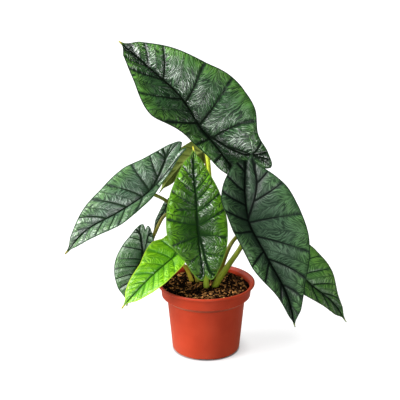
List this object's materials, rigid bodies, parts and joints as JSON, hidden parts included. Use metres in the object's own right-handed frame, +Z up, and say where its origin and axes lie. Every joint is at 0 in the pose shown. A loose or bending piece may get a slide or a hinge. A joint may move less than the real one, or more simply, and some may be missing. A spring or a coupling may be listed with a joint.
{
  "type": "potted alocasia plant",
  "caption": "Alocasia with large veined shield-shaped leaves on arching stalks, growing in soil in a round tapered nursery pot with a rolled rim.",
  "frame": {"origin": "centre of the pot's underside, on the flat pad that it rests on", "axes": "+Z up through the plant, -Y towards the side that the plant faces, +X to its right as seen from there"},
  "size_m": [0.3438, 0.1377, 0.3759],
  "materials": {
    "pot": "satin terracotta-coloured moulded plastic",
    "soil": "matt crumbly peat and bark, stands in for potting soil",
    "corm": "rough fibrous brown skin",
    "blade_top": "glossy quilted leaf blade with dark veins",
    "blade_left": "glossy quilted leaf blade with dark veins",
    "blade_center": "glossy quilted leaf blade with dark veins",
    "blade_right": "glossy quilted leaf blade with dark veins",
    "blade_far_right": "glossy quilted leaf blade with dark veins",
    "blade_low_left": "glossy quilted leaf blade with dark veins",
    "blade_young": "glossy quilted leaf blade with dark veins",
    "blade_back": "glossy quilted leaf blade with dark veins",
    "blade_sliver": "glossy quilted leaf blade with dark veins",
    "stalk_top": "smooth fleshy leaf stalk, faintly mottled",
    "stalk_left": "smooth fleshy leaf stalk, faintly mottled",
    "stalk_center": "smooth fleshy leaf stalk, faintly mottled",
    "stalk_right": "smooth fleshy leaf stalk, faintly mottled",
    "stalk_far_right": "smooth fleshy leaf stalk, faintly mottled",
    "stalk_low_left": "smooth fleshy leaf stalk, faintly mottled",
    "stalk_young": "smooth fleshy leaf stalk, faintly mottled",
    "stalk_back": "smooth fleshy leaf stalk, faintly mottled",
    "stalk_sliver": "smooth fleshy leaf stalk, faintly mottled"
  },
  "bodies": {
    "root": {"pot": "pot", "soil": "soil", "corm": "corm", "blade_top": "blade_top", "blade_left": "blade_left", "blade_center": "blade_center", "blade_right": "blade_right", "blade_far_right": "blade_far_right", "blade_low_left": "blade_low_left", "blade_young": "blade_young", "blade_back": "blade_back", "blade_sliver": "blade_sliver", "stalk_top": "stalk_top", "stalk_left": "stalk_left", "stalk_center": "stalk_center", "stalk_right": "stalk_right", "stalk_far_right": "stalk_far_right", "stalk_low_left": "stalk_low_left", "stalk_young": "stalk_young", "stalk_back": "stalk_back", "stalk_sliver": "stalk_sliver"}
  },
  "joints": []
}
